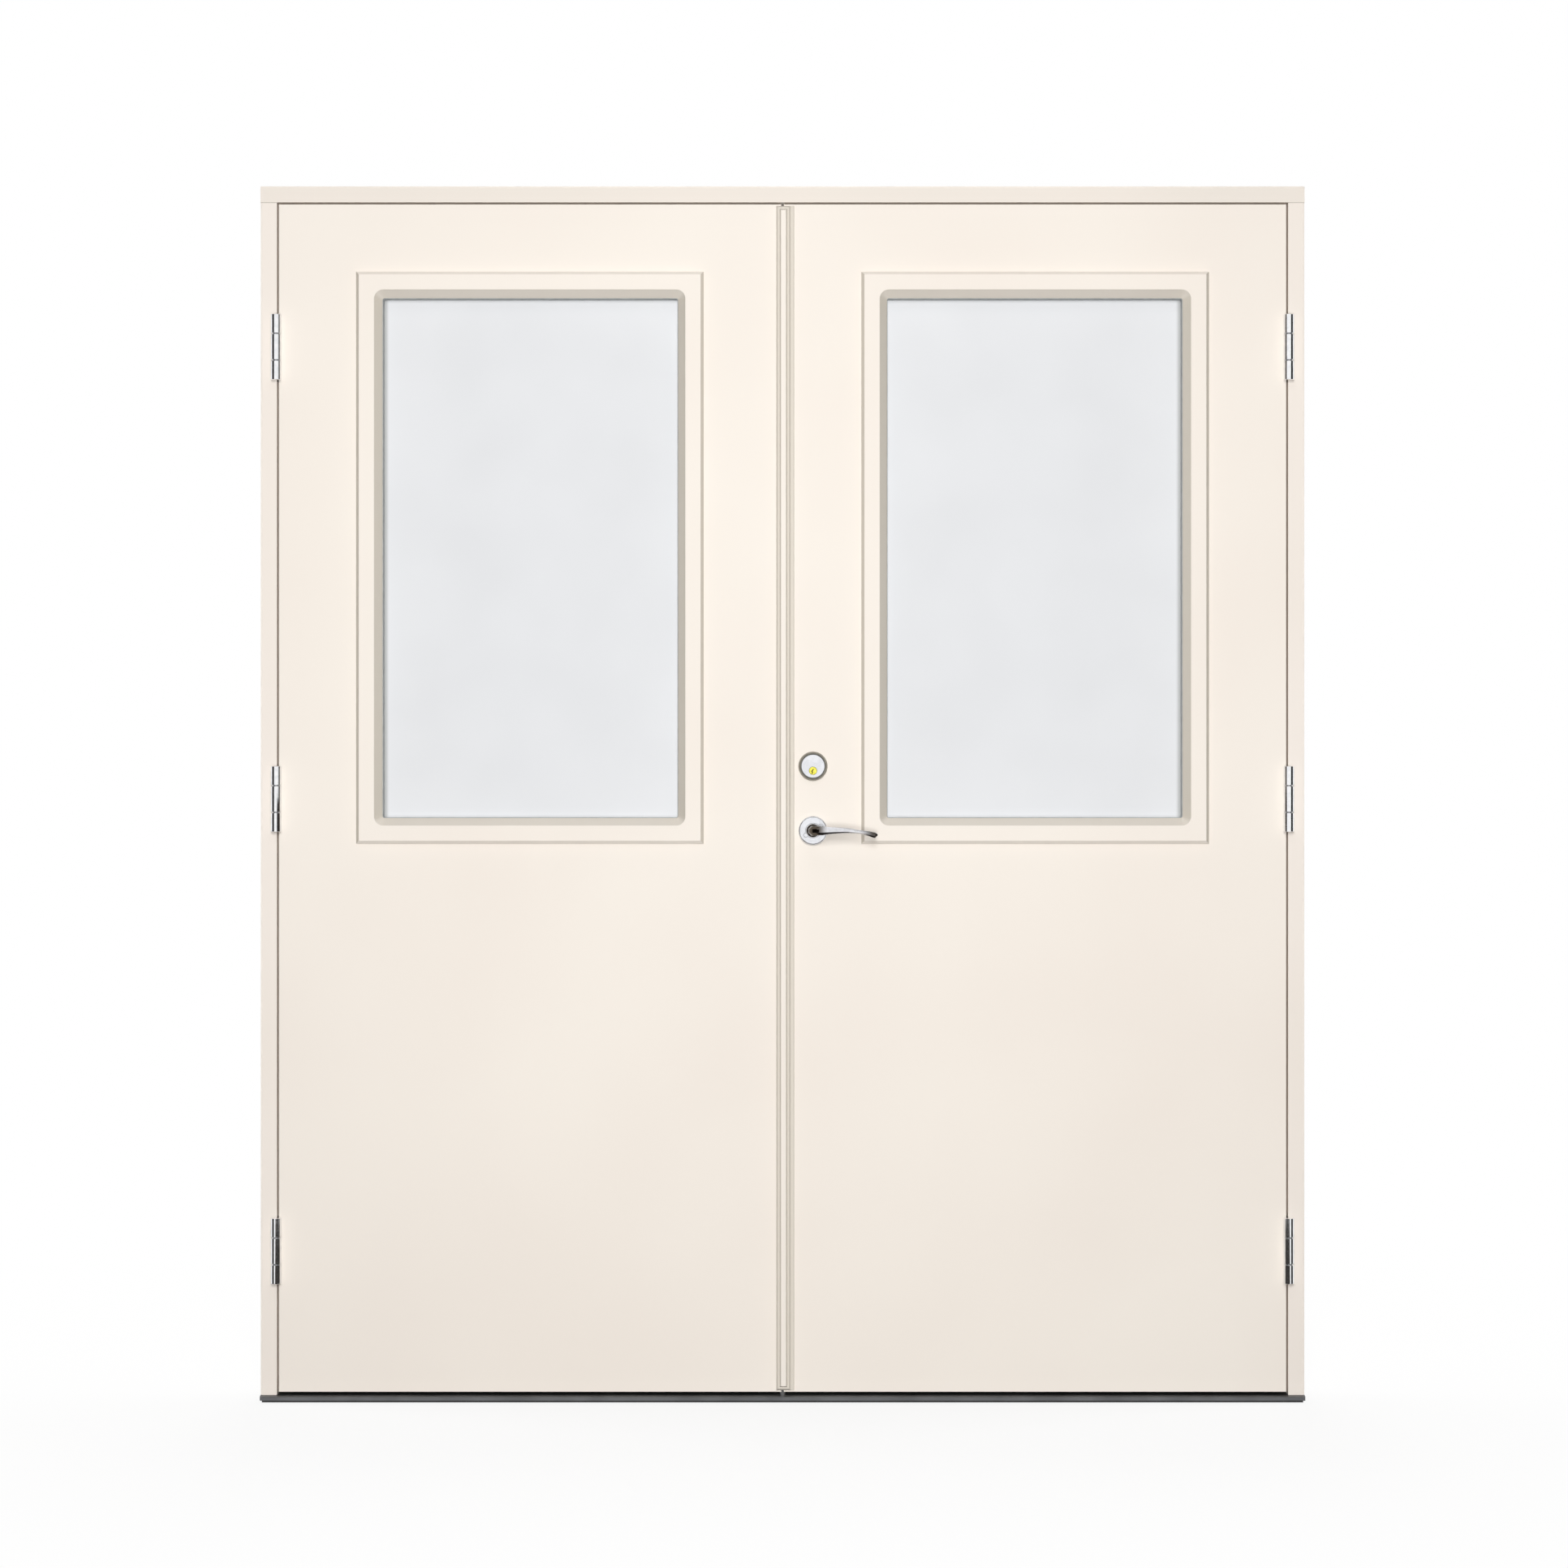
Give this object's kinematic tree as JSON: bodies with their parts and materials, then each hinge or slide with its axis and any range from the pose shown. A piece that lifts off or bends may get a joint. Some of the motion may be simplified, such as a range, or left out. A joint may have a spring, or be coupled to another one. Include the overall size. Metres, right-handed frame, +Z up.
{
  "type": "double exterior door",
  "caption": "Pair of outward-opening exterior door leaves with raised opal-glass lights, on hinges in a rebated frame with a threshold, cover strip and lever handle.",
  "frame": {"origin": "middle of the threshold's underside, halfway through the frame's depth", "axes": "+Z up, +Y into the building, +X to the right seen from outside"},
  "size_m": [1.785, 0.18, 2.08],
  "materials": {
    "frame_paint": "satin cream paint on timber",
    "leaf_paint": "satin cream paint on board",
    "sill_aluminium": "dark grey coating",
    "seal_rubber": "matte black",
    "chrome_plate": "polished",
    "plate_steel": "brushed",
    "plug_brass": "bright",
    "opal_glass": "opal, frosted"
  },
  "bodies": {
    "frame": {"left_jamb": "frame_paint", "right_jamb": "frame_paint", "head_jamb": "frame_paint", "sill": "sill_aluminium", "sill_underlay": "seal_rubber", "sill_corner_pads": "seal_rubber", "left_frame_seal": "seal_rubber", "right_frame_seal": "seal_rubber", "head_seal": "seal_rubber", "sill_seal": "seal_rubber", "bolt_keepers": "plate_steel", "left_bottom_hinge_frame_half": "chrome_plate", "left_middle_hinge_frame_half": "chrome_plate", "left_top_hinge_frame_half": "chrome_plate", "right_bottom_hinge_frame_half": "chrome_plate", "right_middle_hinge_frame_half": "chrome_plate", "right_top_hinge_frame_half": "chrome_plate"},
    "left_leaf": {"strike_plate": "plate_steel", "flush_bolts": "plate_steel", "left_panel": "leaf_paint", "left_outer_glazing_frame": "leaf_paint", "left_inner_glazing_frame": "leaf_paint", "left_glass_unit": "opal_glass", "left_bottom_hinge_leaf_half": "chrome_plate", "left_middle_hinge_leaf_half": "chrome_plate", "left_top_hinge_leaf_half": "chrome_plate"},
    "right_leaf": {"lock_faceplate": "plate_steel", "astragal": "leaf_paint", "cylinder_ring": "chrome_plate", "lock_cylinder": "chrome_plate", "cylinder_plug": "plug_brass", "outer_rose": "chrome_plate", "inner_rose": "chrome_plate", "turn_rose": "chrome_plate", "thumb_turn": "chrome_plate", "right_panel": "leaf_paint", "right_outer_glazing_frame": "leaf_paint", "right_inner_glazing_frame": "leaf_paint", "right_glass_unit": "opal_glass", "right_bottom_hinge_leaf_half": "chrome_plate", "right_middle_hinge_leaf_half": "chrome_plate", "right_top_hinge_leaf_half": "chrome_plate"},
    "lever": {"outer_lever": "chrome_plate", "inner_lever": "chrome_plate", "lever_spindle": "plate_steel"}
  },
  "joints": [
    {"name": "left_leaf_swing", "type": "hinge", "parent": "frame", "child": "left_leaf", "pos_m": [-0.8641, -0.0625, 1.032], "axis": [0, 0, -1], "range_deg": [0, 170]},
    {"name": "right_leaf_swing", "type": "hinge", "parent": "frame", "child": "right_leaf", "pos_m": [0.8641, -0.0625, 1.032], "axis": [0, 0, 1], "range_deg": [0, 170]},
    {"name": "lever_turn", "type": "hinge", "parent": "right_leaf", "child": "lever", "pos_m": [0.052, -0.0205, 0.978], "axis": [0, 1, 0], "range_deg": [0, 45], "stiffness_Nm_per_rad": 1.5, "springref_deg": -34.38}
  ]
}
